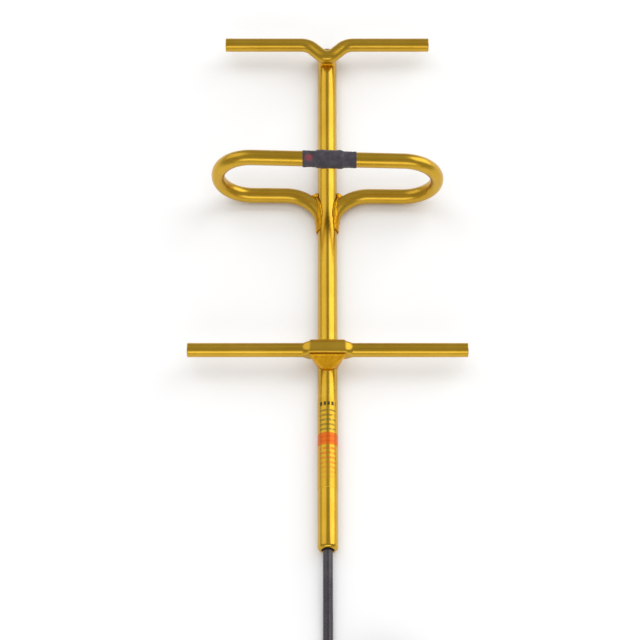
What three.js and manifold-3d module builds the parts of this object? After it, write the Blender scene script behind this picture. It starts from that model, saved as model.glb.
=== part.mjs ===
// A three-element Yagi antenna, welded up from gold anodised aluminium tube and rod.
// It lies on its back on a table: +Y runs up the boom from its tail to its head, +X is to the
// right, +Z is up, and the fed conductor of the folded dipole stands above the boom. A coaxial
// pigtail leaves the tail, is coiled up, and ends in a plug with a turning nut. Millimetres.
import * as THREE from 'three';
import { ConvexGeometry } from 'three/addons/geometries/ConvexGeometry.js';
import { mergeVertices } from 'three/addons/utils/BufferGeometryUtils.js';
import Module from 'manifold-3d';

const wasm = await Module();
wasm.setup();

// Driving dimensions. A place along the boom is measured from its tail.
const BOOM_LENGTH = 371;
const BOOM_R = 6.35;
const BOOM_BORE_R = 4.7;
const BOOM_MOUTH_R = 3.9; // its tail is turned in round the cable
const BOOM_SIDES = 32;
const AXIS_Z = BOOM_R * Math.cos(Math.PI / BOOM_SIDES); // one flat of the boom is on the table
const GAP = 0.3; // between pieces that touch or are welded

const ROD_R = 4.55;
const DIRECTOR_AT = 370;
const DIRECTOR_HALF = 69.25;
const DIRECTOR_KNEE_X = 13;
const DIRECTOR_SLOPE = THREE.MathUtils.degToRad(43.6);
const REFLECTOR_AT = 132.7;
const REFLECTOR_HALF = 89.25;
const PRESSED_HALF_Y = 4.4; // the middle of the reflector is pressed to a block
const PRESSED_HALF_Z = 5.85;
const PRESSED_TO_X = 10.6;
const ROUND_FROM_X = 16.4;

const TUBE_R = 5;
const TUBE_BORE_R = 3.8;
const DIPOLE_AT = 255.6;
const SWEEP_R = 26.3; // where the dipole turns into the boom
const SWEEP_X = 1.6;
const LOOP_HEIGHT = 45; // from the boom's axis to the fed conductor, over the boom
const LOOP_HALF = 71.7; // to the centre line of the loop's far ends
const LEAN_LOW = 0.0105; // the loop leans towards the tail at +X, more at its top
const LEAN_HIGH = 0.028;

const FEED_X = 1.3; // the middle of the feed gap
const FEED_GAP = 8;
const COVER_HALF = 17.5;
const COVER_THICK_HALF = 8;
const LABEL = [40, 102.5];

const CABLE_R = 3.1;
const BRAID_R = 2.3; // the cable without its jacket, inside the dipole
const COIL_R = 32.5;
const COIL_AT = -106;
const COIL_PITCH = 6.3;
const COIL_TURNS = 2;
const PLUG_Z = 10.3;
const PLUG_FROM = -215;

const OBJECT_LENGTH = DIRECTOR_AT + ROD_R;

// Materials
const gold = metal(0xc9a227, 0.28);
const nickel = metal(0xb9b9b4, 0.3);
const brass = metal(0xb08d3c, 0.35);
const braid = metal(0xb87348, 0.5);
const black = plastic(0x2b2a2e, 0.6);
const jacket = plastic(0x35333a, 0.5);
const ivory = plastic(0xe6e2d6, 0.45);
const orange = plastic(0xd8762a, 0.5);
const red = plastic(0x9c3b44, 0.6);

function metal(color, roughness) {
  return new THREE.MeshStandardMaterial({ color, roughness, metalness: 1 });
}

function plastic(color, roughness) {
  return new THREE.MeshStandardMaterial({ color, roughness, metalness: 0 });
}

// ---- Shapes ----

/** A circular bend that starts at a point and turns from one direction to another. */
class Bend extends THREE.Curve {
  constructor(start, into, out, radius) {
    super();
    this.start = start;
    this.into = into;
    this.inward = out.clone().addScaledVector(into, -out.dot(into)).normalize();
    this.radius = radius;
    this.turn = into.angleTo(out);
  }

  getPoint(t, target = new THREE.Vector3()) {
    const angle = t * this.turn;
    return target.copy(this.start)
      .addScaledVector(this.into, this.radius * Math.sin(angle))
      .addScaledVector(this.inward, this.radius * (1 - Math.cos(angle)));
  }
}

/** A route of straight stretches and circular bends. Each corner is [x, y, z, bend radius]. */
function route(corners) {
  const points = corners.map(([x, y, z]) => new THREE.Vector3(x, y, z));
  const path = new THREE.CurvePath();
  const straight = (from, to) => {
    if (from.distanceTo(to) > 0.01) path.add(new THREE.LineCurve3(from, to));
  };
  let from = points[0];
  for (let i = 1; i < points.length - 1; i++) {
    const into = points[i].clone().sub(points[i - 1]).normalize();
    const out = points[i + 1].clone().sub(points[i]).normalize();
    const reach = corners[i][3] * Math.tan(into.angleTo(out) / 2);
    const start = points[i].clone().addScaledVector(into, -reach);
    straight(from, start);
    path.add(new Bend(start, into, out, corners[i][3]));
    from = points[i].clone().addScaledVector(out, reach);
  }
  straight(from, points.at(-1));
  return path;
}

function polygon(radius, sides, target) {
  for (let i = 0; i < sides; i++) {
    const angle = (2 * Math.PI * i) / sides;
    const [x, y] = [radius * Math.cos(angle), radius * Math.sin(angle)];
    if (i === 0) target.moveTo(x, y);
    else target.lineTo(x, y);
  }
  return target;
}

/** A rod, or a tube if it has a bore, along a path. */
function swept(path, radius, { bore = 0, sides = 12, steps = 44 } = {}) {
  const section = polygon(radius, sides, new THREE.Shape());
  if (bore) section.holes.push(polygon(bore, sides, new THREE.Path()));
  return new THREE.ExtrudeGeometry(section, { extrudePath: path, steps });
}

/** A piece turned about +Y, from [radius, y] points that start and end on the axis. */
function turned(profile, sides = 16) {
  return new THREE.LatheGeometry(profile.map(([r, y]) => new THREE.Vector2(r, y)), sides);
}

/** A ring turned about +Y. It has a bore, and its outline is [radius, y] points in rising y. */
function ring(bore, outline, sides = 16) {
  const [low, high] = [outline[0][1], outline.at(-1)[1]];
  return turned([[bore, low], ...outline, [bore, high], [bore, low]], sides);
}

/** A block that tapers towards its second x, level with the boom's axis. */
function gusset([x1, x2], [y1, y2], halfZ) {
  const corners = [];
  for (const z of [-halfZ, halfZ]) {
    corners.push(new THREE.Vector3(x1, y1, AXIS_Z + z), new THREE.Vector3(x1, y2, AXIS_Z + z));
    corners.push(new THREE.Vector3(x2, y1, AXIS_Z + z * 0.6));
    corners.push(new THREE.Vector3(x2, y2 - 1.6, AXIS_Z + z * 0.6));
  }
  return new ConvexGeometry(corners);
}

/** A plain cylinder along the boom's axis, for cutting what meets the boom. */
function boomCore(radius, sides = 48) {
  const long = BOOM_LENGTH + 40;
  const core = turned([[0, -20], [radius, -20], [radius, long - 20], [0, long - 20]], sides);
  return core.translate(0, 0, AXIS_Z);
}

// ---- Joining and cutting ----

function toSolid(geometry) {
  const plain = geometry.clone();
  plain.deleteAttribute('normal');
  plain.deleteAttribute('uv');
  const merged = mergeVertices(plain, 1e-4);
  const index = merged.index.array;
  const triangles = [];
  for (let i = 0; i < index.length; i += 3) {
    const [a, b, c] = index.subarray(i, i + 3);
    if (a !== b && b !== c && c !== a) triangles.push(a, b, c);
  }
  return new wasm.Manifold(new wasm.Mesh({
    numProp: 3,
    vertProperties: new Float32Array(merged.attributes.position.array),
    triVerts: new Uint32Array(triangles),
  }));
}

function toGeometry(solid) {
  const mesh = solid.getMesh();
  const geometry = new THREE.BufferGeometry();
  geometry.setAttribute('position', new THREE.BufferAttribute(mesh.vertProperties, 3));
  geometry.setIndex(new THREE.BufferAttribute(mesh.triVerts, 1));
  geometry.computeVertexNormals();
  return geometry;
}

/** The largest body of a geometry once others are cut from it. */
function cut(geometry, ...cutters) {
  let solid = toSolid(geometry);
  for (const cutter of cutters) solid = solid.subtract(toSolid(cutter));
  const bodies = solid.decompose().sort((a, b) => b.volume() - a.volume());
  return toGeometry(bodies[0]);
}

function joined(first, second) {
  return toGeometry(toSolid(first).add(toSolid(second)));
}

function common(first, second) {
  return toGeometry(toSolid(first).intersect(toSolid(second)));
}

// ---- The model ----

const model = new THREE.Group();
model.position.y = -OBJECT_LENGTH / 2;

function add(name, geometry, material, parent = model) {
  const mesh = new THREE.Mesh(geometry, material);
  mesh.name = name;
  parent.add(mesh);
  return mesh;
}

// The folded dipole: two half loops that stand across the boom.

/** Leans what belongs to the dipole: its +X side towards the tail, its -X side away from it. */
function lean(geometry) {
  const place = geometry.attributes.position;
  for (let i = 0; i < place.count; i++) {
    const up = (place.getZ(i) - AXIS_Z) / LOOP_HEIGHT;
    const slope = THREE.MathUtils.lerp(LEAN_LOW, LEAN_HIGH, up);
    place.setY(i, place.getY(i) - place.getX(i) * slope);
  }
  geometry.computeVertexNormals();
  return geometry;
}

/** Half of the dipole's centre line, from inside the boom round to x = end on the fed side. */
function halfLoop(side, end, start = [[side * SWEEP_X, DIPOLE_AT - 45, AXIS_Z]]) {
  const radius = LOOP_HEIGHT / 2;
  return route([
    ...start,
    [side * SWEEP_X, DIPOLE_AT, AXIS_Z, SWEEP_R],
    [side * LOOP_HALF, DIPOLE_AT, AXIS_Z, radius],
    [side * LOOP_HALF, DIPOLE_AT, AXIS_Z + LOOP_HEIGHT, radius],
    [end, DIPOLE_AT, AXIS_Z + LOOP_HEIGHT],
  ]);
}

function addDipole() {
  for (const [side, word] of [[-1, 'left'], [1, 'right']]) {
    const end = FEED_X + side * FEED_GAP / 2;
    const path = halfLoop(side, end);
    const tube = lean(swept(path, TUBE_R, { bore: TUBE_BORE_R, steps: 42 }));
    add(`dipole_arm_${word}`, cut(tube, boomCore(BOOM_R + GAP)), gold);

    const start = [[side * SWEEP_X, DIPOLE_AT - SWEEP_R - 2, AXIS_Z]];
    const low = halfLoop(side, side * (LOOP_HALF - 30), start);
    const bead = common(lean(swept(low, TUBE_R + 0.9, { steps: 42 })), boomCore(BOOM_R + 1.8));
    const inside = lean(swept(low, TUBE_R + GAP, { steps: 42 }));
    const corner = gusset([side * 5.5, side * 10], [DIPOLE_AT - 8, DIPOLE_AT + 1.4], 2.6);
    const weld = joined(bead, corner);
    add(`dipole_weld_${word}`, cut(weld, boomCore(BOOM_R + GAP), inside), gold);
  }
}

function addFeed() {
  const along = (name, geometry, material) => {
    geometry.rotateZ(-Math.PI / 2);
    add(name, lean(geometry.translate(FEED_X, DIPOLE_AT, AXIS_Z + LOOP_HEIGHT)), material);
  };

  const flange = FEED_GAP / 2 - GAP;
  along('feed_insulator', ring(1.5, [
    [3.3, -9], [3.3, -flange], [4.7, -flange], [4.7, flange], [3.3, flange], [3.3, 9],
  ]), ivory);
  along('feed_terminal', ring(1.5, [[3.3, -16], [3.3, -9.4]]), brass);
  along('feed_braid_ring', ring(BRAID_R + GAP, [[3.3, 9.4], [3.3, 15]]), brass);
  along('feed_conductor', turned([[0, -15], [1.2, -15], [1.2, 8.7], [0, 8.7]], 10), braid);

  const thin = TUBE_R + 0.65;
  const thick = TUBE_R + 1.1;
  along('feed_cover', ring(TUBE_R + GAP, [
    [thin, -COVER_HALF], [thin, -COVER_THICK_HALF - 2], [thick, -COVER_THICK_HALF],
    [thick, COVER_THICK_HALF], [thin, COVER_THICK_HALF + 2], [thin, COVER_HALF],
  ], 24), black);
  const dot = turned([[0, 0], [2.4, 0], [2.4, 9], [0, 9]]).rotateX(Math.PI / 2);
  dot.rotateZ(Math.PI / 2).translate(0, -COVER_HALF + 3.7, 0);
  const film = ring(thin + GAP, [[thin + GAP + 0.2, -16.6], [thin + GAP + 0.2, -11]], 24);
  along('feed_mark', common(film, dot), red);
}

// The boom and what is in it.

function addBoom() {
  const chamfer = 0.6;
  const tube = turned([
    [BOOM_MOUTH_R, 0], [BOOM_R - 1.7, 0], [BOOM_R - 0.5, 0.8], [BOOM_R, 2.2],
    [BOOM_R, BOOM_LENGTH - chamfer], [BOOM_R - chamfer, BOOM_LENGTH],
    [BOOM_BORE_R, BOOM_LENGTH], [BOOM_BORE_R, 2.4], [BOOM_MOUTH_R, 1.2], [BOOM_MOUTH_R, 0],
  ], BOOM_SIDES).rotateY(Math.PI / BOOM_SIDES).translate(0, 0, AXIS_Z);
  const ways = [-1, 1].map((side) => lean(swept(halfLoop(side, side * 40), 3)));
  add('boom', cut(tube, ...ways), gold);

  const plug = BOOM_BORE_R - GAP;
  const head = add('boom_plug', turned([
    [0, -9], [plug - 0.6, -9], [plug, -7], [plug, -0.5], [0, -0.5],
  ]), black);
  head.position.set(0, BOOM_LENGTH, AXIS_Z);

  const seal = add('tail_bushing', ring(CABLE_R + GAP, [[plug, 3], [plug, 12]]), black);
  seal.position.z = AXIS_Z;
}

/** The label is a strip wrapped over the top of the boom, with its ends apart underneath. */
function addLabel() {
  const [inner, outer] = [BOOM_R + GAP, BOOM_R + GAP + 0.2];
  const open = Math.PI / 6;
  const shape = new THREE.Shape();
  shape.absarc(0, 0, outer, open - Math.PI / 2, 1.5 * Math.PI - open, false);
  shape.absarc(0, 0, inner, 1.5 * Math.PI - open, open - Math.PI / 2, true);
  const [from, to] = LABEL;
  const strip = new THREE.ExtrudeGeometry(shape, {
    depth: to - from, bevelEnabled: false, curveSegments: 24,
  });
  const label = add('rating_label', strip, orange);
  label.rotation.x = Math.PI / 2;
  label.position.set(0, to, AXIS_Z);
}

// The rods.

function director(radius) {
  const z = AXIS_Z + BOOM_R + GAP + ROD_R;
  const vertexY = DIRECTOR_AT - DIRECTOR_KNEE_X * Math.tan(DIRECTOR_SLOPE);
  return swept(route([
    [-DIRECTOR_HALF, DIRECTOR_AT, z],
    [-DIRECTOR_KNEE_X, DIRECTOR_AT, z, 12],
    [0, vertexY, z, 6],
    [DIRECTOR_KNEE_X, DIRECTOR_AT, z, 12],
    [DIRECTOR_HALF, DIRECTOR_AT, z],
  ]), radius, { steps: 44 });
}

function addDirector() {
  add('director', director(ROD_R), gold);
  const y = DIRECTOR_AT - 8;
  const corners = [];
  for (const side of [-1, 1]) {
    for (const end of [-1, 1]) {
      corners.push(new THREE.Vector3(side * 4.8, y + end * 6.6, AXIS_Z + 3.4));
      corners.push(new THREE.Vector3(side * 3.2, y + end * 4.9, AXIS_Z + 9.8));
    }
  }
  const fillet = cut(new ConvexGeometry(corners), boomCore(BOOM_R + GAP), director(ROD_R + GAP));
  add('director_weld', fillet, gold);
}

/** A rod along X whose middle is pressed from a circle to an upright block. */
function pressedRod(grow) {
  const stations = [REFLECTOR_HALF, 40];
  for (let x = ROUND_FROM_X; x > PRESSED_TO_X; x -= 1.3) stations.push(x);
  stations.push(PRESSED_TO_X, 5);
  const profile = [
    ...stations.map((x) => [ROD_R, -x]), ...stations.reverse().map((x) => [ROD_R, x]),
  ];
  const rod = turned([[0, -REFLECTOR_HALF], ...profile, [0, REFLECTOR_HALF]], 24);
  rod.rotateZ(-Math.PI / 2);
  const place = rod.attributes.position;
  for (let i = 0; i < place.count; i++) {
    const [x, y, z] = [place.getX(i), place.getY(i), place.getZ(i)];
    const press = 1 - THREE.MathUtils.smoothstep(Math.abs(x), PRESSED_TO_X, ROUND_FROM_X);
    const squareness = 2 / THREE.MathUtils.lerp(2, 6, press);
    const [c, s] = [y / ROD_R, z / ROD_R];
    const across = THREE.MathUtils.lerp(ROD_R, PRESSED_HALF_Y, press) + grow;
    const upright = THREE.MathUtils.lerp(ROD_R, PRESSED_HALF_Z, press) + grow;
    const squared = (v) => (Math.abs(v) < 1e-6 ? 0 : Math.sign(v) * Math.abs(v) ** squareness);
    place.setXYZ(i, x, across * squared(c), upright * squared(s));
  }
  return rod.translate(0, REFLECTOR_AT, AXIS_Z + BOOM_R + GAP + PRESSED_HALF_Z);
}

function addReflector() {
  add('reflector', pressedRod(0), gold);
  const corners = [];
  for (const side of [-1, 1]) {
    for (const end of [-1, 1]) {
      const along = (distance) => REFLECTOR_AT + end * distance;
      corners.push(new THREE.Vector3(side * 6, along(7.8), AXIS_Z + 2.4));
      corners.push(new THREE.Vector3(side * 11.8, along(PRESSED_HALF_Y + GAP), AXIS_Z + 16.8));
      corners.push(new THREE.Vector3(side * 2.2, along(10.6), AXIS_Z + 6.6));
    }
  }
  const block = pressedRod(GAP);
  add('reflector_weld', cut(new ConvexGeometry(corners), boomCore(BOOM_R + GAP), block), gold);
}

// The coaxial cable: inside the boom and the dipole, then the free pigtail.

function addInnerCable() {
  const end = FEED_X + 9.1;
  const joinY = DIPOLE_AT - 42;
  add('coax_in_boom', swept(route([[0, GAP / 2, AXIS_Z], [0, joinY - 1, AXIS_Z]]),
    CABLE_R, { sides: 8, steps: 2 }), jacket);
  const start = [[0, joinY, AXIS_Z], [SWEEP_X, joinY + 10, AXIS_Z, 20]];
  const run = swept(halfLoop(1, end, start), BRAID_R, { sides: 8, steps: 36 });
  add('coax_in_dipole', lean(run), braid);
}

/** A block-sided ring about +Z round the coiled cable. */
function coilRing(grow) {
  const [inner, outer] = [COIL_R - CABLE_R - 0.2 - grow, COIL_R + CABLE_R + 0.2 + grow];
  const high = 2 * CABLE_R + COIL_TURNS * COIL_PITCH + 0.1 + grow;
  const low = 0.9 - grow;
  return ring(inner, [[outer, low], [outer, high]], 36)
    .rotateX(Math.PI / 2).translate(COIL_R, COIL_AT, 0);
}

function addPigtail() {
  const curve = (points) => new THREE.CatmullRomCurve3(
    points.map(([y, z]) => new THREE.Vector3(0, y, z)), false, 'centripetal');
  const lead = curve([
    [-GAP / 2, AXIS_Z], [-9, AXIS_Z], [-18, AXIS_Z - 0.1], [-30, AXIS_Z - 1.3],
    [-42, CABLE_R + 0.7], [-55, CABLE_R + 0.1], [-70, CABLE_R], [COIL_AT, CABLE_R],
  ]);
  const top = CABLE_R + COIL_TURNS * COIL_PITCH;
  const tail = curve([
    [COIL_AT, top], [-118, top], [-128, top - 0.7], [-142, top - 4.5], [-156, CABLE_R + 2.6],
    [-168, CABLE_R + 0.3], [-176, CABLE_R], [-186, CABLE_R + 1.3], [-198, PLUG_Z - 1.4],
    [-207, PLUG_Z - 0.1], [PLUG_FROM + GAP, PLUG_Z],
  ]);
  add('pigtail_lead', cut(swept(lead, CABLE_R, { steps: 18 }), coilRing(GAP)), jacket);
  add('pigtail_tail', cut(swept(tail, CABLE_R, { steps: 24 }), coilRing(GAP)), jacket);
  add('pigtail_coil', coilRing(0), jacket);

  const [wide, high] = [CABLE_R + 0.5, 2 * CABLE_R + COIL_TURNS * COIL_PITCH + 0.4];
  const [low, thick] = [0.6, 0.5];
  const band = new THREE.Shape();
  band.moveTo(-wide - thick, low - thick);
  band.lineTo(wide + thick, low - thick);
  band.lineTo(wide + thick, high + thick);
  band.lineTo(-wide - thick, high + thick);
  const inside = new THREE.Path();
  inside.moveTo(-wide, low);
  inside.lineTo(-wide, high);
  inside.lineTo(wide, high);
  inside.lineTo(wide, low);
  band.holes.push(inside);
  const tie = new THREE.ExtrudeGeometry(band, { depth: 5, bevelEnabled: false });
  tie.rotateX(Math.PI / 2).translate(2 * COIL_R, COIL_AT + 2.5, 0);
  add('coil_tie', tie, black);
}

/** The plug on the cable's end points away from the boom. Its own +Y runs out of its mouth. */
function addPlug() {
  const plug = new THREE.Group();
  plug.position.set(0, PLUG_FROM, PLUG_Z);
  plug.rotation.z = Math.PI;
  model.add(plug);
  const part = (name, geometry, material) => add(name, geometry, material, plug);

  part('cable_boot', ring(CABLE_R + 0.45, [
    [CABLE_R + 1, -6], [CABLE_R + 1.7, 4], [CABLE_R + 1.9, 12],
  ]), black);
  part('crimp_ferrule', ring(CABLE_R + 0.45, [
    [CABLE_R + 1.4, 12 + GAP], [CABLE_R + 1.4, 20],
  ]), nickel);
  part('connector_body', ring(3.3, [
    [6.2, 20 + GAP], [7.4, 21.5], [7.4, 27], [6, 27], [6, 33], [6.6, 33], [6.6, 35.5],
    [4.1, 35.5], [4.1, 42.6],
  ], 20), nickel);
  part('lock_ring', ring(6 + GAP, [[6.9, 29.2], [6.9, 30.2]], 20), brass);
  part('connector_gasket', ring(4.1 + GAP, [[6.6, 35.5 + GAP], [6.6, 37]], 20), red);
  part('connector_insulator', ring(1.1, [[3, 21], [3, 38]]), ivory);
  part('centre_pin', turned([
    [0, 22], [0.8, 22], [0.8, 40.7], [0.25, 42.2], [0, 42.2],
  ], 10), brass);

  const nut = turned([
    [7.2, 28.2], [9.1, 28.2], [10.25, 29.6], [10.25, 40], [9.6, 41], [9.6, 47],
    [7.95, 47], [7.95, 36], [7.2, 34], [7.2, 28.2],
  ], 36);
  const flats = turned([[0, 20], [11.3, 20], [11.3, 50], [0, 50]], 6);
  part('coupling_nut', common(nut, flats), nickel);
}

addBoom();
addLabel();
addDirector();
addReflector();
addDipole();
addFeed();
addInnerCable();
addPigtail();
addPlug();

export default model;
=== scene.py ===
"""The looks of a gold anodised Yagi antenna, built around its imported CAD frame."""

import math

import bmesh
import bpy
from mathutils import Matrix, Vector


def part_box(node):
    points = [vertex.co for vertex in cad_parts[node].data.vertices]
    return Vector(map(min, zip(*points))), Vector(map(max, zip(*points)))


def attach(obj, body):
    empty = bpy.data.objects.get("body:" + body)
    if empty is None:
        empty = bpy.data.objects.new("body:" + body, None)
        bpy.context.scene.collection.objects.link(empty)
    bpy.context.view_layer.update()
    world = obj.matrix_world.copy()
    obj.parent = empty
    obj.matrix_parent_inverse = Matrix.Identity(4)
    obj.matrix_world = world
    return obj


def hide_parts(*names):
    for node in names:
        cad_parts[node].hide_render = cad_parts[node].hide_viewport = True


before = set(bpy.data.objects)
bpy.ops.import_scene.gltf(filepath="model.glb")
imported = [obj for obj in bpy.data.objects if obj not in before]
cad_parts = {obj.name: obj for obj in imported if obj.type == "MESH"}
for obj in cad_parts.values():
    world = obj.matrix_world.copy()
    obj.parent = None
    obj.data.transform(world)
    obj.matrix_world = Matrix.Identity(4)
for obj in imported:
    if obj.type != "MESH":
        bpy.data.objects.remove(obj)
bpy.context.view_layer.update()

# Sizes are in millimetres, as in the CAD, and a place along the boom is measured from its tail.
MM = 0.001
TAIL_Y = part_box("boom")[0].y / MM
AXIS_Z = (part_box("boom")[0].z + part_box("boom")[1].z) / 2 / MM
BOOM_LENGTH, BOOM_R, BOOM_BORE_R, BOOM_MOUTH_R = 371, 6.35, 4.7, 3.9
ROD_R = 4.55
DIRECTOR_AT, DIRECTOR_HALF, KNEE_X, SLOPE = 370, 69.25, 13, math.radians(43.6)
DIRECTOR_Z = AXIS_Z + BOOM_R + 0.3 + ROD_R
REFLECTOR_AT, REFLECTOR_HALF = 132.7, 89.25
PRESSED_HALF_Y, PRESSED_HALF_Z, PRESSED_TO_X, ROUND_FROM_X = 4.4, 5.85, 10.6, 16.4
TUBE_R, DIPOLE_AT, SWEEP_R, SWEEP_X = 5, 255.6, 26.3, 1.6
LOOP_HEIGHT, LOOP_HALF = 45, 71.7
LEAN_LOW, LEAN_HIGH = 0.0105, 0.028
FEED_X, COVER_HALF = 1.3, 17.5
LABEL_FROM, LABEL_TO = 40, 102.5
CABLE_R, COIL_R, COIL_AT, COIL_PITCH, COIL_TURNS = 3.1, 32.5, -106, 6.3, 2
PLUG_Z, PLUG_FROM = 10.3, -215

# The edge of a cut rod: how far in from the end a ring is, and how much smaller it is there.
ROUND_OVER = ((0, 0.5), (0.12, 0.18), (0.45, 0))


# ---- Camera ----

def make_camera():
    looks_down = math.radians(61)
    data = bpy.data.cameras.new("camera")
    data.lens, data.sensor_width = 135, 36
    data.clip_start, data.clip_end = 0.05, 30
    cam = bpy.data.objects.new("camera", data)
    cam.location = (-4.85 * MM, (TAIL_Y - 589.45) * MM, (AXIS_Z + 1354.65) * MM)
    cam.rotation_euler = (math.pi / 2 - looks_down, 0, 0)
    bpy.context.scene.collection.objects.link(cam)
    bpy.context.scene.camera = cam


make_camera()


# ---- Mesh tools ----

def make(name, verts, faces, sharp=24):
    """An object from points in millimetres, smooth but for edges over a sharp angle."""
    mesh = bpy.data.meshes.new(name)
    mesh.from_pydata([tuple(c * MM for c in v) for v in verts], [], faces)
    bm = bmesh.new()
    bm.from_mesh(mesh)
    bmesh.ops.remove_doubles(bm, verts=bm.verts, dist=1e-6)
    bmesh.ops.recalc_face_normals(bm, faces=bm.faces)
    for face in bm.faces:
        face.smooth = True
    for edge in bm.edges:
        if len(edge.link_faces) == 2:
            edge.smooth = edge.calc_face_angle(0) < math.radians(sharp)
    bm.to_mesh(mesh)
    bm.free()
    obj = bpy.data.objects.new(name, mesh)
    bpy.context.scene.collection.objects.link(obj)
    return obj


def rings_to_faces(count, sides, closed=False):
    faces = []
    for i in range(count if closed else count - 1):
        for j in range(sides):
            a, b = i * sides, ((i + 1) % count) * sides
            k = (j + 1) % sides
            faces.append((a + j, a + k, b + k, b + j))
    return faces


def revolve(name, profile, segments=64, across=None, sharp=24):
    """Turned about +Y from a closed loop of (radius, y). across(angle, r, y) may change r."""
    verts = []
    for r, y in profile:
        for j in range(segments):
            t = 2 * math.pi * j / segments
            q = across(t, r, y) if across else r
            verts.append((q * math.sin(t), y, q * math.cos(t)))
    return make(name, verts, rings_to_faces(len(profile), segments, closed=True), sharp)


def sweep(name, line, section, sides=48, sharp=18, bend=None):
    """A rod along a line of Vectors with rounded-over ends. section(share) gives its two radii."""
    tangents = []
    for i, p in enumerate(line):
        a, b = line[max(i - 1, 0)], line[min(i + 1, len(line) - 1)]
        tangents.append((b - a).normalized())
    up = Vector((0, 0, 1))
    verts = []
    total = len(line) - 1

    def ring(centre, tangent, up, a, b):
        side = tangent.cross(up).normalized()
        for j in range(sides):
            t = 2 * math.pi * j / sides
            verts.append(tuple(centre + up * (a * math.cos(t)) + side * (b * math.sin(t))))

    for i, (p, t) in enumerate(zip(line, tangents)):
        up = (up - t * up.dot(t)).normalized()
        a, b = section(i / total)
        centre = (p, a * 0.001, b * 0.001)
        if i == 0:
            rings = [centre, *((p + t * d, a - less, b - less) for d, less in ROUND_OVER)]
        elif i == total:
            rings = [*((p - t * d, a - less, b - less) for d, less in reversed(ROUND_OVER)), centre]
        else:
            rings = [(p, a, b)]
        for place, high, wide in rings:
            ring(place, t, up, high, wide)
    if bend:
        verts = [bend(*v) for v in verts]
    return make(name, verts, rings_to_faces(len(verts) // sides, sides), sharp)


def route(corners, step=2.0):
    """Points along straight stretches and circular bends. Each corner is (x, y, z, radius)."""
    pts = [Vector(c[:3]) for c in corners]
    line = [pts[0]]

    def straight(to):
        start = line[-1].copy()
        n = max(1, math.ceil((to - start).length / (step * 3)))
        line.extend(start.lerp(to, k / n) for k in range(1, n + 1))

    for i in range(1, len(pts) - 1):
        into, out = (pts[i] - pts[i - 1]).normalized(), (pts[i + 1] - pts[i]).normalized()
        turn, radius = into.angle(out), corners[i][3]
        reach = radius * math.tan(turn / 2)
        start = pts[i] - into * reach
        if (start - line[-1]).length > 0.01:
            straight(start)
        inward = (out - into * out.dot(into)).normalized()
        n = max(6, math.ceil(turn * radius / step))
        for k in range(1, n + 1):
            t = turn * k / n
            line.append(start + into * radius * math.sin(t) + inward * radius * (1 - math.cos(t)))
    straight(pts[-1])
    return line


def smoothstep(v, low, high):
    t = min(max((v - low) / (high - low), 0), 1)
    return t * t * (3 - 2 * t)


def lean(x, y, z):
    up = (z - AXIS_Z) / LOOP_HEIGHT
    return x, y - x * (LEAN_LOW + (LEAN_HIGH - LEAN_LOW) * up), z


def at(s):
    return TAIL_Y + s


# ---- Materials ----

class Nodes:
    """A material's nodes, with the shader's constants on its own sockets."""

    def __init__(self, name, **constants):
        self.material = bpy.data.materials.new(name)
        self.material.use_nodes = True
        self.tree = self.material.node_tree
        self.shader = self.tree.nodes["Principled BSDF"]
        for key, value in constants.items():
            self.shader.inputs[key.replace("_", " ")].default_value = value

    def node(self, kind, links=(), **settings):
        n = self.tree.nodes.new(kind)
        for key, value in settings.items():
            setattr(n, key, value)
        for socket, source in links:
            if isinstance(source, bpy.types.NodeSocket):
                self.tree.links.new(source, n.inputs[socket])
            else:
                n.inputs[socket].default_value = source
        return n

    def coords(self, scale=(1, 1, 1)):
        c = self.node("ShaderNodeTexCoord").outputs["Object"]
        return self.node("ShaderNodeMapping", [("Vector", c), ("Scale", scale)]).outputs[0]

    def noise(self, vector, scale, detail=4.0, rough=0.55):
        return self.node("ShaderNodeTexNoise", [
            ("Vector", vector), ("Scale", scale), ("Detail", detail), ("Roughness", rough),
        ]).outputs["Fac"]

    def span(self, value, low, high, to_low, to_high):
        return self.node("ShaderNodeMapRange", [
            ("Value", value), ("From Min", low), ("From Max", high),
            ("To Min", to_low), ("To Max", to_high),
        ]).outputs[0]

    def math(self, operation, a, b=0.0):
        return self.node("ShaderNodeMath", [(0, a), (1, b)], operation=operation).outputs[0]

    def mix(self, share, a, b):
        n = self.node("ShaderNodeMix", data_type="RGBA")
        for index, value in ((0, share), (6, a), (7, b)):
            if isinstance(value, bpy.types.NodeSocket):
                self.tree.links.new(value, n.inputs[index])
            else:
                n.inputs[index].default_value = value
        return n.outputs[2]

    def bump(self, height, strength, distance):
        n = self.node("ShaderNodeBump", [
            ("Height", height), ("Strength", strength), ("Distance", distance),
        ])
        self.link("Normal", n.outputs[0])

    def link(self, socket, value):
        self.tree.links.new(value, self.shader.inputs[socket])


GOLD_DEEP, GOLD_LIGHT = (0.56, 0.325, 0.022, 1), (0.64, 0.392, 0.036, 1)


def gold(name, along, rough):
    """Bright anodised tube: fine draw lines along one axis, and slow changes of the dye's depth."""
    m = Nodes(name, Metallic=1.0, Coat_Weight=0.12, Coat_Roughness=0.1)
    drawn = tuple(9 if k == along else 1100 for k in range(3))
    lines = m.noise(m.coords(drawn), 1.0, 3.0, 0.6)
    dye = m.noise(m.coords(), 60, 3.0)
    depth = m.math("ADD", m.math("MULTIPLY", dye, 0.6), m.math("MULTIPLY", lines, 0.4))
    m.link("Base Color", m.mix(m.span(depth, 0.35, 0.65, 0, 1), GOLD_DEEP, GOLD_LIGHT))
    m.link("Roughness", m.span(lines, 0.3, 0.7, rough, rough + 0.08))
    m.bump(lines, 0.06, 0.00008)
    return m.material


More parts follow.
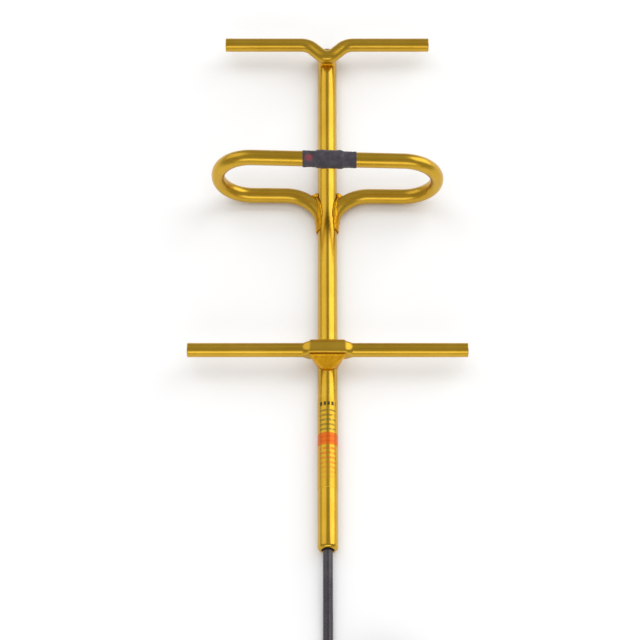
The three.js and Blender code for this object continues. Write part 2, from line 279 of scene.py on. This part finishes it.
def weld_gold_painted_reflection(name):
    """The welds are painted more orange and brighter than the tube, a painted reflection of gold on
    gold in the hollows, over low ripples.
    """
    m = Nodes(name, Metallic=1.0)
    wide = m.noise(m.coords(), 420, 2.0)
    fine = m.noise(m.coords(), 1900, 3.0)
    # Painted reflection: these orange colours stand in for the interreflection between tube and
    # boom at the weld.
    m.link("Base Color", m.mix(m.span(wide, 0.35, 0.65, 0, 1),
                               (0.66, 0.335, 0.010, 1), (0.80, 0.42, 0.018, 1)))
    m.link("Roughness", m.span(fine, 0.3, 0.7, 0.26, 0.42))
    m.bump(m.math("ADD", wide, m.math("MULTIPLY", fine, 0.3)), 0.35, 0.0003)
    return m.material


def soft_black(name, dark, light, rough, scale=900, bump=0.2, **constants):
    m = Nodes(name, **constants)
    grain = m.noise(m.coords(), scale, 4.0)
    slow = m.noise(m.coords(), 120, 2.0)
    m.link("Base Color", m.mix(m.span(slow, 0.35, 0.65, 0, 1), dark, light))
    m.link("Roughness", m.span(grain, 0.3, 0.7, rough - 0.07, rough + 0.07))
    m.bump(grain, bump, 0.00008)
    return m.material


def cover_material():
    """Shrunk sleeve with soft lumps and a faded red spot towards its left end."""
    m = Nodes("heat_shrink", Specular_IOR_Level=0.45)
    slow = m.noise(m.coords(), 210, 2.0)
    grain = m.noise(m.coords(), 1400, 4.0)
    base = m.mix(m.span(slow, 0.35, 0.65, 0, 1), (0.030, 0.025, 0.034, 1), (0.055, 0.046, 0.060, 1))
    place = m.node("ShaderNodeTexCoord").outputs["Object"]
    spot = Vector(lean(FEED_X - COVER_HALF + 4, at(DIPOLE_AT) - 2.2, AXIS_Z + LOOP_HEIGHT + 5.2))
    away = m.node("ShaderNodeVectorMath", [(0, place), (1, tuple(spot * MM))],
                  operation="DISTANCE").outputs["Value"]
    edge = m.math("ADD", away, m.span(grain, 0.3, 0.7, -0.0005, 0.0005))
    m.link("Base Color", m.mix(m.span(edge, 0.0014, 0.0031, 0.8, 0), base, (0.26, 0.035, 0.050, 1)))
    m.link("Roughness", m.span(grain, 0.3, 0.7, 0.42, 0.58))
    m.bump(m.math("ADD", slow, m.math("MULTIPLY", grain, 0.2)), 0.35, 0.0006)
    return m.material


def label_material():
    """Clear film on the gold, printed with an orange band and plain broken rows."""
    m = Nodes("label_film", Specular_IOR_Level=0.3, Coat_Weight=0.05, Coat_Roughness=0.12)
    place = m.node("ShaderNodeTexCoord").outputs["Object"]
    axes = m.node("ShaderNodeSeparateXYZ", [(0, place)])
    s = m.span(axes.outputs["Y"], at(0) * MM, at(100) * MM, 0, 100)

    def between(low, high, soft=0.25):
        up = m.span(s, low - soft, low + soft, 0, 1)
        return m.math("MULTIPLY", up, m.span(s, high - soft, high + soft, 1, 0))

    rows = m.math("SINE", m.math("MULTIPLY", s, 2 * math.pi / 3.3))
    rows = m.span(rows, 0.05, 0.35, 0, 1)
    broken = m.noise(m.coords((520, 300, 300)), 1.0, 1.0)
    dashes = m.math("MULTIPLY", rows, m.span(broken, 0.36, 0.44, 0.3, 1))
    blocks = m.math("SINE", m.math("MULTIPLY", axes.outputs["X"], 2 * math.pi / 0.0024))
    inside = m.span(m.math("ABSOLUTE", axes.outputs["X"]), 0.0046, 0.0052, 1, 0)
    dashes = m.math("MULTIPLY", dashes, inside)
    band = between(69.4, 77.8)
    lines = m.math("ADD", between(71.6, 72.5, 0.15), between(74.6, 75.5, 0.15))
    top = m.math("MULTIPLY", between(96.8, 99.4), m.span(blocks, -0.5, -0.3, 0, 1))
    upper = m.math("MULTIPLY", m.math("MULTIPLY", between(79.5, 95), dashes), 0.7)
    lower = m.math("MULTIPLY", m.math("MULTIPLY", between(44, 67.5), dashes),
                   m.span(s, 44, 67, 0.12, 0.85))

    film = m.noise(m.coords((900, 18, 900)), 1.0, 3.0)
    color = m.mix(m.span(film, 0.35, 0.65, 0, 1), GOLD_DEEP, GOLD_LIGHT)
    color = m.mix(upper, color, (0.16, 0.12, 0.02, 1))
    color = m.mix(lower, color, (0.62, 0.13, 0.012, 1))
    color = m.mix(m.math("MULTIPLY", band, 0.95), color, (0.66, 0.125, 0.002, 1))
    color = m.mix(m.math("MULTIPLY", m.math("MULTIPLY", lines, inside), 0.8), color,
                  (0.62, 0.075, 0.004, 1))
    color = m.mix(m.math("MULTIPLY", top, inside), color, (0.06, 0.045, 0.015, 1))
    m.link("Base Color", color)
    ink = m.math("ADD", m.math("ADD", upper, lower), m.math("ADD", band, top))
    m.link("Metallic", m.span(ink, 0, 1, 1, 0.5))
    m.link("Roughness", m.span(film, 0.3, 0.7, 0.22, 0.34))
    return m.material


def worn_metal(name, dark, light, rough, scale=700, bump=0.15):
    m = Nodes(name, Metallic=1.0)
    grain = m.noise(m.coords(), scale, 4.0)
    slow = m.noise(m.coords(), 140, 2.0)
    m.link("Base Color", m.mix(m.span(slow, 0.35, 0.65, 0, 1), dark, light))
    m.link("Roughness", m.span(grain, 0.3, 0.7, rough - 0.06, rough + 0.08))
    m.bump(grain, bump, 0.00005)
    return m.material


GOLD_Y, GOLD_X = gold("anodised_gold_boom", 1, 0.2), gold("anodised_gold_rods", 0, 0.27)
WELD = weld_gold_painted_reflection("anodised_weld")
COVER = cover_material()
FILM = label_material()
JACKET = soft_black("cable_jacket", (0.022, 0.017, 0.024, 1), (0.038, 0.030, 0.041, 1), 0.3,
                    Specular_IOR_Level=0.6)
RUBBER = soft_black("black_rubber", (0.018, 0.018, 0.020, 1), (0.035, 0.034, 0.036, 1), 0.62)
NYLON = soft_black("black_nylon", (0.015, 0.015, 0.016, 1), (0.03, 0.03, 0.03, 1), 0.45, 500)
NICKEL = worn_metal("nickel_plate", (0.60, 0.58, 0.55, 1), (0.70, 0.68, 0.64, 1), 0.26,
                    1500, 0.04)
BRASS = worn_metal("brass_contact", (0.62, 0.42, 0.14, 1), (0.78, 0.56, 0.22, 1), 0.28)
COPPER = worn_metal("copper", (0.62, 0.30, 0.16, 1), (0.80, 0.42, 0.24, 1), 0.35)
BRAID = worn_metal("cable_braid", (0.50, 0.47, 0.42, 1), (0.72, 0.69, 0.63, 1), 0.42, 2600)
PTFE = soft_black("ptfe", (0.74, 0.73, 0.68, 1), (0.84, 0.83, 0.79, 1), 0.4, 1200, 0.1)
GASKET = soft_black("red_gasket", (0.30, 0.035, 0.025, 1), (0.42, 0.06, 0.04, 1), 0.55)


def finish_piece(obj, material, nodes, body="root"):
    obj.data.materials.clear()
    obj.data.materials.append(material)
    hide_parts(*nodes)
    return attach(obj, body)


# ---- The cord ----

def smooth_line(points, per=8):
    """A centripetal Catmull-Rom curve through Vectors."""
    pts = [points[0] * 2 - points[1], *points, points[-1] * 2 - points[-2]]
    line = []
    for i in range(1, len(pts) - 2):
        p = pts[i - 1:i + 3]
        t = [0.0]
        for a, b in zip(p, p[1:]):
            t.append(t[-1] + max((b - a).length, 1e-6) ** 0.5)
        for k in range(per):
            u = t[1] + (t[2] - t[1]) * k / per

            def blend(a, b, ta, tb, u=u):
                return a * ((tb - u) / (tb - ta)) + b * ((u - ta) / (tb - ta))

            a1, a2, a3 = (blend(p[j], p[j + 1], t[j], t[j + 1]) for j in range(3))
            b1, b2 = blend(a1, a2, t[0], t[2]), blend(a2, a3, t[1], t[3])
            line.append(blend(b1, b2, t[1], t[2]))
    line.append(points[-1])
    return line


def coil_height(turn):
    """The cable's axis: flat on what is below it, then slowly up and over the turn's start."""
    whole = math.floor(turn)
    return CABLE_R + COIL_PITCH * (whole + smoothstep(turn - whole, 0.3, 1))


def make_cord():
    low, top = CABLE_R, coil_height(COIL_TURNS)
    lead = smooth_line([Vector((0, at(y), z)) for y, z in (
        (1.5, AXIS_Z), (-9, AXIS_Z), (-18, AXIS_Z - 0.1), (-30, AXIS_Z - 1.3),
        (-42, low + 0.7), (-55, low + 0.1), (-70, low), (COIL_AT, low))])
    turns = []
    n = 72 * COIL_TURNS
    for k in range(1, n):
        turn = COIL_TURNS * k / n
        angle = math.pi + 2 * math.pi * turn
        turns.append(Vector((COIL_R + COIL_R * math.cos(angle),
                             at(COIL_AT) + COIL_R * math.sin(angle), coil_height(turn))))
    tail = smooth_line([Vector((0, at(y), z)) for y, z in (
        (COIL_AT, top), (-118, top), (-128, top - 0.7), (-142, top - 4.5), (-156, low + 2.6),
        (-168, low + 0.3), (-176, low), (-186, low + 1.3), (-198, PLUG_Z - 1.4),
        (-207, PLUG_Z - 0.1), (PLUG_FROM, PLUG_Z), (PLUG_FROM - 16, PLUG_Z))])
    line = lead + turns + tail
    curve = bpy.data.curves.new("pigtail", "CURVE")
    curve.dimensions = "3D"
    curve.bevel_depth, curve.bevel_resolution = CABLE_R * MM, 6
    curve.use_fill_caps = True
    spline = curve.splines.new("POLY")
    spline.points.add(len(line) - 1)
    for point, v in zip(spline.points, line):
        point.co = (*(v * MM), 1)
    spline.use_smooth = True
    obj = bpy.data.objects.new("pigtail", curve)
    bpy.context.scene.collection.objects.link(obj)
    length = sum((b - a).length for a, b in zip(line, line[1:])) * MM
    finish_piece(obj, JACKET, ["pigtail_lead", "pigtail_coil", "pigtail_tail"])
    return obj, length


def make_tie():
    """A nylon tie round both turns at the coil's far side, with its head."""
    low, high = coil_height(0.5), coil_height(1.5)
    centre, reach, half = 2 * COIL_R, CABLE_R + 0.1, 2.3
    loop = []
    for k in range(40):
        t = 2 * math.pi * k / 40
        rise = (high if math.sin(t) >= 0 else low) + reach * math.sin(t)
        loop.append((centre + reach * math.cos(t), rise))
    verts, n = [], len(loop)
    middle = (low + high) / 2
    for y, grow in ((-half, 0.1), (-half, 0.85), (-half + 0.3, 1.05), (half - 0.3, 1.05),
                    (half, 0.85), (half, 0.1)):
        for x, z in loop:
            out = Vector((x - centre, 0, (z - (high if z > middle else low)))).normalized()
            verts.append((x + out.x * grow, at(COIL_AT) + y, z + out.z * grow))
    band = make("tie_band", verts, rings_to_faces(6, n, closed=True))
    head, head_x = [], centre + reach + 0.7
    for dx, dy, dz in ((0, 2.9, 2.4), (0.6, 3.1, 2.6), (2.6, 3.1, 2.6), (3.0, 2.7, 2.2)):
        for sy, sz in ((-1, -1), (1, -1), (1, 1), (-1, 1)):
            head.append((head_x + dx, at(COIL_AT) + sy * dy, middle + sz * dz))
    faces = [*rings_to_faces(4, 4), (3, 2, 1, 0), (12, 13, 14, 15)]
    block = make("tie_head", head, faces)
    for piece in (band, block):
        finish_piece(piece, NYLON, ["coil_tie"])
    return [band, block]


def plug_piece(name, profile, material, node, across=None, segments=72, body="root"):
    """Its profile's y runs out of the plug's mouth, away from the boom."""
    obj = revolve(name, profile, segments, across)
    for v in obj.data.vertices:
        x, y, z = v.co
        v.co = (x, at(PLUG_FROM) * MM - y, z + PLUG_Z * MM)
    bm = bmesh.new()
    bm.from_mesh(obj.data)
    bmesh.ops.recalc_face_normals(bm, faces=bm.faces)
    bm.to_mesh(obj.data)
    bm.free()
    return finish_piece(obj, material, [node], body)


def make_plug():
    boot = [(3.12, -6), (3.5, -6.2), (4.0, -5.8)]
    for k in range(5):
        y = -4.6 + k * 3
        grow = 0.28 * k / 4
        boot += [(4.15 + grow * 2, y), (4.5 + grow * 2, y + 0.4), (4.5 + grow * 2, y + 1.5),
                 (4.15 + grow * 2, y + 1.9)]
    boot += [(4.9, 10), (5.0, 11.7), (4.7, 12), (3.12, 12)]
    pieces = [plug_piece("boot", boot, RUBBER, "cable_boot")]

    def crimp(t, r, y):
        if r < 4.2 or not 13.6 < y < 18.6:
            return r
        return min(r, 4.15 / math.cos((t + math.pi / 6) % (math.pi / 3) - math.pi / 6))

    ferrule = [(3.12, 12.3), (4.2, 12.3), (4.5, 12.6), (4.5, 13.5), (4.5, 13.8), (4.5, 18.4),
               (4.5, 18.7), (4.5, 20), (3.12, 20)]
    pieces.append(plug_piece("ferrule", ferrule, NICKEL, "crimp_ferrule", crimp))

    def flats(t, r, y):
        if r < 7 or not 21.4 < y < 27.2:
            return r
        return min(r, 7.0 / math.cos((t + math.pi / 4) % (math.pi / 2) - math.pi / 4))

    body = [(3.3, 20.3), (5.9, 20.3), (6.2, 20.6), (7.1, 21.3), (7.4, 21.6), (7.4, 26.8),
            (7.2, 27), (6, 27), (6, 33), (6.6, 33), (6.6, 35.5), (4.1, 35.5), (4.1, 42.3),
            (3.9, 42.6), (3.45, 42.6), (3.3, 42.3)]
    pieces.append(plug_piece("plug_body", body, NICKEL, "connector_body", flats))
    pin = [(0.001, 22), (0.8, 22), (0.8, 40.4), (0.62, 41.2), (0.3, 42), (0.001, 42.2)]
    pieces.append(plug_piece("pin", pin, BRASS, "centre_pin", segments=32))
    core = [(1.1, 21), (3, 21), (3, 37.7), (2.7, 38), (1.3, 38), (1.1, 37.8)]
    pieces.append(plug_piece("plug_core", core, PTFE, "connector_insulator"))
    seal = [(4.42, 35.85), (6.45, 35.85), (6.6, 36.1), (6.6, 36.8), (6.4, 37), (4.42, 37)]
    pieces.append(plug_piece("seal", seal, GASKET, "connector_gasket"))
    clip = [(6.32, 29.2), (6.8, 29.2), (6.9, 29.4), (6.9, 30.1), (6.8, 30.2), (6.32, 30.2)]
    pieces.append(plug_piece("clip", clip, BRASS, "lock_ring"))

    def knurl(t, r, y):
        if r < 8.6:
            return r
        if 29.4 < y < 35.2:
            return min(r, 9.78 / math.cos(t % (math.pi / 3) - math.pi / 6))
        if 36.4 < y < 45.6:
            return r - 0.28 * (0.5 + 0.5 * math.cos(36 * t))
        return r

    nut = [(7.2, 28.2), (9.0, 28.2), (9.5, 28.7), (10.2, 29.5), (10.25, 29.7), (10.25, 35),
           (9.7, 35.4), (9.45, 36), (9.6, 36.5), (9.75, 37), (9.75, 45), (9.6, 45.5),
           (9.4, 46), (9.4, 46.7), (9.1, 47), (8.2, 47), (7.95, 46.7)]
    turns, y = [], 46.2
    while y > 36.8:
        turns += [(7.95, y), (8.2, y - 0.3), (8.2, y - 0.5), (7.95, y - 0.8)]
        y -= 1.06
    nut += turns + [(7.95, 36), (7.2, 34)]
    pieces.append(plug_piece("nut", nut, NICKEL, "coupling_nut", knurl, 216,
                             "coupling_nut"))
    return pieces


cord, cord_length = make_cord()
on_cord = make_tie() + make_plug()


# ---- The boom ----

def make_boom():
    rim, wall, mouth, turned_in = BOOM_R, BOOM_BORE_R, BOOM_MOUTH_R, 2.1
    profile = [(wall, turned_in + 0.4), (mouth, 1.2), (mouth, 0.3), (mouth + 0.15, 0.08)]
    for k in range(9):
        t = math.pi / 2 * k / 8
        profile.append((rim - turned_in * (1 - math.sin(t)), turned_in * (1 - math.cos(t))))
    steps, last = 30, BOOM_LENGTH - 0.95
    profile += [(rim, turned_in + (last - turned_in) * k / steps) for k in range(1, steps + 1)]
    profile += [(rim - 0.25, BOOM_LENGTH - 0.3), (rim - 0.75, BOOM_LENGTH),
                (wall + 0.3, BOOM_LENGTH - 0.05), (wall, BOOM_LENGTH - 0.35)]
    obj = revolve("boom_tube", profile, 96, sharp=20)
    for v in obj.data.vertices:
        v.co.y += at(0) * MM
        v.co.z += AXIS_Z * MM
    return finish_piece(obj, GOLD_Y, ["boom"])


def make_label():
    outer, inner, half = BOOM_R + 0.12, BOOM_R - 0.05, math.radians(150)
    verts, n = [], 96
    for y, r in ((LABEL_FROM, inner), (LABEL_FROM + 0.15, outer), (LABEL_TO - 0.15, outer),
                 (LABEL_TO, inner)):
        for k in range(n + 1):
            t = -half + 2 * half * k / n
            verts.append((r * math.sin(t), at(y), AXIS_Z + r * math.cos(t)))
    faces, w = [], n + 1
    for i in range(3):
        for j in range(n):
            a = i * w + j
            faces.append((a, a + 1, a + 1 + w, a + w))
    faces.append(tuple(i * w for i in range(4)))
    faces.append(tuple(i * w + n for i in reversed(range(4))))
    for j in range(n):
        faces.append((j, 3 * w + j, 3 * w + j + 1, j + 1))
    obj = make("label", verts, faces)
    return finish_piece(obj, FILM, ["rating_label"])


make_boom()
make_label()


# ---- The rods and the loop ----

def make_director():
    vertex = DIRECTOR_AT - KNEE_X * math.tan(SLOPE)
    line = route([(-DIRECTOR_HALF, at(DIRECTOR_AT), DIRECTOR_Z),
                  (-KNEE_X, at(DIRECTOR_AT), DIRECTOR_Z, 12), (0, at(vertex), DIRECTOR_Z, 6),
                  (KNEE_X, at(DIRECTOR_AT), DIRECTOR_Z, 12),
                  (DIRECTOR_HALF, at(DIRECTOR_AT), DIRECTOR_Z)], 0.9)
    obj = sweep("director_rod", line, lambda share: (ROD_R, ROD_R))
    return finish_piece(obj, GOLD_X, ["director"])


def make_reflector():
    cut = {REFLECTOR_HALF - d: less for d, less in ROUND_OVER}
    stations = [*cut, 70, 50, 30, 20]
    x = ROUND_FROM_X
    while x > PRESSED_TO_X:
        stations.append(x)
        x -= 0.4
    stations += [PRESSED_TO_X, 7, 3.5]
    xs = [-v for v in stations] + [0] + stations[::-1]
    verts, sides = [], 128

    def ring(x, shrink):
        press = 1 - smoothstep(abs(x), PRESSED_TO_X, ROUND_FROM_X)
        power = 2 / (2 + 3 * press)
        a = ROD_R + (PRESSED_HALF_Y - ROD_R) * press - shrink
        b = ROD_R + (PRESSED_HALF_Z - ROD_R) * press - shrink
        for j in range(sides):
            t = 2 * math.pi * (j + 0.5) / sides
            c, s = math.cos(t), math.sin(t)
            verts.append((x, at(REFLECTOR_AT) + a * math.copysign(abs(c) ** power, c),
                          AXIS_Z + BOOM_R + 0.3 + PRESSED_HALF_Z
                          + b * math.copysign(abs(s) ** power, s)))

    ring(xs[0], ROD_R - 0.001)
    for x in xs:
        ring(x, cut.get(abs(x), 0))
    ring(xs[-1], ROD_R - 0.001)
    obj = make("reflector_rod", verts, rings_to_faces(len(xs) + 2, sides), 17)
    return finish_piece(obj, GOLD_X, ["reflector"])


def make_arm(side, word):
    radius = LOOP_HEIGHT / 2
    end = FEED_X + side * 4
    y, z = at(DIPOLE_AT), AXIS_Z
    line = route([(side * SWEEP_X, y - SWEEP_R - 1, z), (side * SWEEP_X, y, z, SWEEP_R),
                  (side * LOOP_HALF, y, z, radius),
                  (side * LOOP_HALF, y, z + LOOP_HEIGHT, radius), (end, y, z + LOOP_HEIGHT)], 1.2)
    heights = [min(max((p.z - z) / LOOP_HEIGHT, 0), 1) for p in line]

    def section(share):
        squeeze = math.sin(math.pi * heights[round(share * (len(line) - 1))]) ** 0.8
        return TUBE_R - 0.6 * squeeze, TUBE_R + 0.25 * squeeze

    obj = sweep("dipole_" + word, line, section, bend=lean)
    return finish_piece(obj, GOLD_X, ["dipole_arm_" + word])


def make_cover():
    profile = []
    n = 56
    for k in range(n + 1):
        u = -COVER_HALF + 2 * COVER_HALF * k / n
        thick = 1 - smoothstep(abs(u), 7.2, 9.6)
        r = 5.42 + 0.62 * thick + 0.10 * math.sin(u * 1.1) * thick + 0.05 * math.sin(u * 2.3 + 1)
        if abs(u) > COVER_HALF - 0.4:
            r -= 0.22
        profile.append((r, u))
    profile += [(5.02, COVER_HALF), (5.02, -COVER_HALF)]

    def lumps(t, r, y):
        if r < 5.1:
            return r
        return r + 0.09 * math.sin(2 * t + y * 0.5) + 0.05 * math.sin(5 * t - y)

    obj = revolve("feed_sleeve", profile, 72, lumps, 50)
    for v in obj.data.vertices:
        x, y, z = (c / MM for c in v.co)
        v.co = Vector(lean(FEED_X + y, at(DIPOLE_AT) - x, AXIS_Z + LOOP_HEIGHT + z)) * MM
    return finish_piece(obj, COVER, ["feed_cover", "feed_mark"])


def make_weld(node, name, grow, voxel=0.45):
    """A weld's CAD solid, rounded into a bead that runs out onto the metal around it."""
    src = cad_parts[node]
    mesh = src.data.copy()
    obj = bpy.data.objects.new(name, mesh)
    bpy.context.scene.collection.objects.link(obj)
    for key in [k for k in obj.keys() if k.startswith("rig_")]:
        del obj[key]
    remesh = obj.modifiers.new("remesh", "REMESH")
    remesh.mode, remesh.voxel_size = "VOXEL", voxel * MM
    soft = obj.modifiers.new("soft", "SMOOTH")
    soft.factor, soft.iterations = 0.5, 7
    graph = bpy.context.evaluated_depsgraph_get()
    made = bpy.data.meshes.new_from_object(obj.evaluated_get(graph))
    obj.modifiers.clear()
    obj.data = made
    bpy.data.meshes.remove(mesh)
    normals = [v.normal.copy() for v in made.vertices]
    for v, n in zip(made.vertices, normals):
        ripple = 0.025 * math.sin(v.co.y / MM * 2.6) * math.cos(v.co.x / MM * 1.7)
        v.co += n * ((grow + ripple) * MM)
        v.co.z = max(v.co.z, 0)
    for face in made.polygons:
        face.use_smooth = True
    return finish_piece(obj, WELD, [node])


make_director()
make_reflector()
make_arm(-1, "left")
make_arm(1, "right")
make_cover()
make_weld("director_weld", "director_bead", 0.45, 0.35)
make_weld("reflector_weld", "reflector_bead", 0.45, 0.4)
make_weld("dipole_weld_left", "dipole_bead_left", 0.25, 0.35)
make_weld("dipole_weld_right", "dipole_bead_right", 0.25, 0.35)

for node, material in (
    ("boom_plug", RUBBER), ("tail_bushing", RUBBER), ("coax_in_boom", JACKET),
    ("coax_in_dipole", BRAID), ("feed_insulator", PTFE), ("feed_terminal", BRASS),
    ("feed_braid_ring", BRASS), ("feed_conductor", COPPER),
):
    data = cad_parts[node].data
    data.materials.clear()
    data.materials.append(material)


# ---- Floor and light ----

def make_stage():
    m = Nodes("floor", Roughness=0.7, Specular_IOR_Level=0.15)
    tone = m.noise(m.coords(), 3, 2.0)
    m.link("Base Color", m.mix(m.span(tone, 0.35, 0.65, 0, 1),
                               (0.90, 0.90, 0.90, 1), (0.93, 0.93, 0.93, 1)))
    floor = make("floor", [(-4000, -4000, -0.05), (4000, -4000, -0.05), (4000, 4000, -0.05),
                           (-4000, 4000, -0.05)], [(0, 1, 2, 3)])
    floor.data.materials.append(m.material)

    world = bpy.data.worlds.new("studio")
    bpy.context.scene.world = world
    world.use_nodes = True
    background = world.node_tree.nodes["Background"]
    background.inputs["Color"].default_value = (1, 1, 1, 1)
    background.inputs["Strength"].default_value = 0.42

    def panel(name, place, size, brightness):
        """A soft box that faces the antenna. Its brightness is its radiance."""
        light = bpy.data.lights.new(name, "AREA")
        light.shape, light.size, light.size_y = "RECTANGLE", *size
        light.energy = brightness * math.pi * size[0] * size[1]
        obj = bpy.data.objects.new(name, light)
        obj.location = place
        obj.rotation_euler = (-Vector(place)).to_track_quat("-Z", "Y").to_euler()
        bpy.context.scene.collection.objects.link(obj)
        return obj

    panel("right_panel", (1.55, 1.05, 1.25), (1.7, 2.2), 1.8)
    panel("left_panel", (-1.45, 1.05, 1.45), (1.8, 2.2), 0.85)
    panel("front_panel", (0.0, -2.3, 1.15), (2.6, 1.1), 1.7)
    panel("fill", (0.0, 0.0, 3.0), (3.2, 3.2), 1.3).visible_glossy = False
    bpy.context.scene.view_settings.view_transform = "Standard"


make_stage()

bpy.context.view_layer.update()
